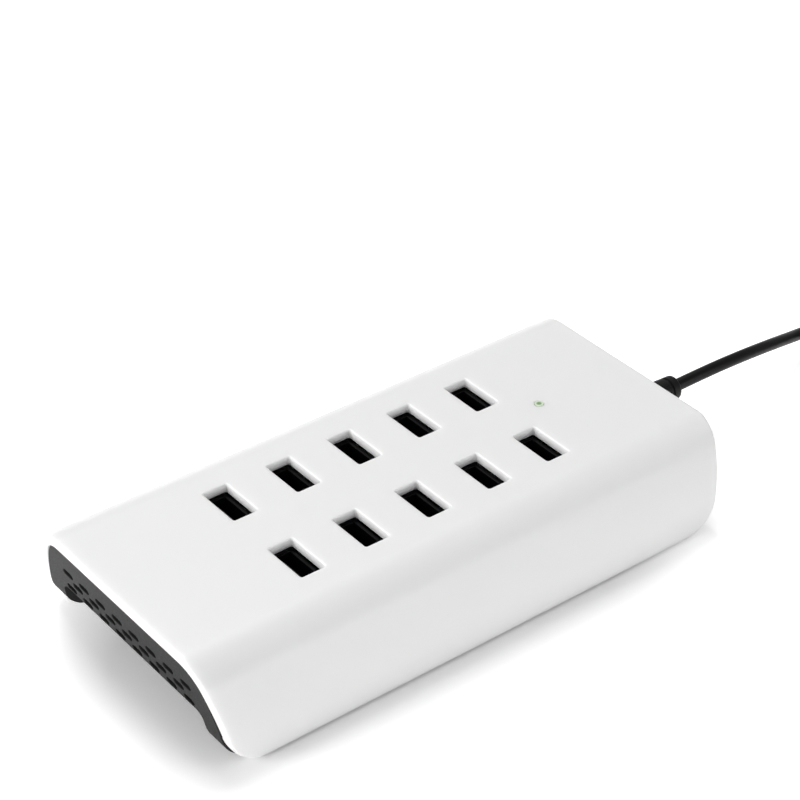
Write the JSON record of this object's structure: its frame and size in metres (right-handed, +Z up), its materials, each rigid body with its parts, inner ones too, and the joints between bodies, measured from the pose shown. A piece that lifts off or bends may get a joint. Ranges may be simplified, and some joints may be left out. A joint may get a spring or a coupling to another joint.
{
  "type": "usb charging station",
  "caption": "Low white desk charging station with two rows of upright USB-A ports, slanted slotted dark ends, an arched underside and a black mains lead",
  "frame": {"origin": "on the surface it stands on, under the middle of the case", "axes": "+X along the case to the cord end, +Y to the back row of ports, +Z up"},
  "size_m": [0.3274, 0.1023, 0.0291],
  "materials": {
    "white_shell": "fine satin moulding",
    "grey_tray": "fine matt moulding",
    "port_metal": "black plating",
    "port_insulator": "matt",
    "contact_metal": "thin gold plating",
    "board_laminate": "green solder mask",
    "ferrite": "sintered",
    "winding_tape": "film tape",
    "can_sleeve": "shrink sleeve",
    "copper_winding": "enamelled copper wire",
    "film_box": "moulded",
    "fuse_tube": "clear",
    "moulded_chip": "moulded",
    "sink_metal": "extruded",
    "can_metal": "drawn can",
    "lamp_chip": "clear cast",
    "green_pipe": "tinted, polished",
    "wire_sleeve": "extruded",
    "cord_rubber": "satin",
    "tie_plastic": "matt",
    "plug_vinyl": "satin moulding",
    "blade_brass": "stamped",
    "screw_steel": "zinc plated",
    "foot_rubber": "matt"
  },
  "bodies": {
    "root": {"top_shell": "white_shell", "base_tray": "grey_tray", "main_board": "board_laminate", "transformer_core": "ferrite", "transformer_winding": "winding_tape", "bulk_capacitors": "can_sleeve", "line_choke": "copper_winding", "filter_capacitor": "film_box", "inlet_fuse": "fuse_tube", "bridge_rectifier": "moulded_chip", "heat_sink": "sink_metal", "switching_transistor": "moulded_chip", "output_capacitors": "can_metal", "charge_controllers": "moulded_chip", "power_led": "lamp_chip", "light_pipe": "green_pipe", "inlet_wires": "wire_sleeve", "strain_relief": "cord_rubber", "cord_tube": "cord_rubber", "cord_coil": "cord_rubber", "cord_tail": "cord_rubber", "coil_tie": "tie_plastic", "plug_body": "plug_vinyl", "plug_blades": "blade_brass", "base_screws": "screw_steel", "board_screws": "screw_steel", "rubber_feet": "foot_rubber", "usb_shell_01": "port_metal", "usb_tongue_01": "port_insulator", "usb_contacts_01": "contact_metal", "usb_shell_02": "port_metal", "usb_tongue_02": "port_insulator", "usb_contacts_02": "contact_metal", "usb_shell_03": "port_metal", "usb_tongue_03": "port_insulator", "usb_contacts_03": "contact_metal", "usb_shell_04": "port_metal", "usb_tongue_04": "port_insulator", "usb_contacts_04": "contact_metal", "usb_shell_05": "port_metal", "usb_tongue_05": "port_insulator", "usb_contacts_05": "contact_metal", "usb_shell_06": "port_metal", "usb_tongue_06": "port_insulator", "usb_contacts_06": "contact_metal", "usb_shell_07": "port_metal", "usb_tongue_07": "port_insulator", "usb_contacts_07": "contact_metal", "usb_shell_08": "port_metal", "usb_tongue_08": "port_insulator", "usb_contacts_08": "contact_metal", "usb_shell_09": "port_metal", "usb_tongue_09": "port_insulator", "usb_contacts_09": "contact_metal", "usb_shell_10": "port_metal", "usb_tongue_10": "port_insulator", "usb_contacts_10": "contact_metal"}
  },
  "joints": []
}
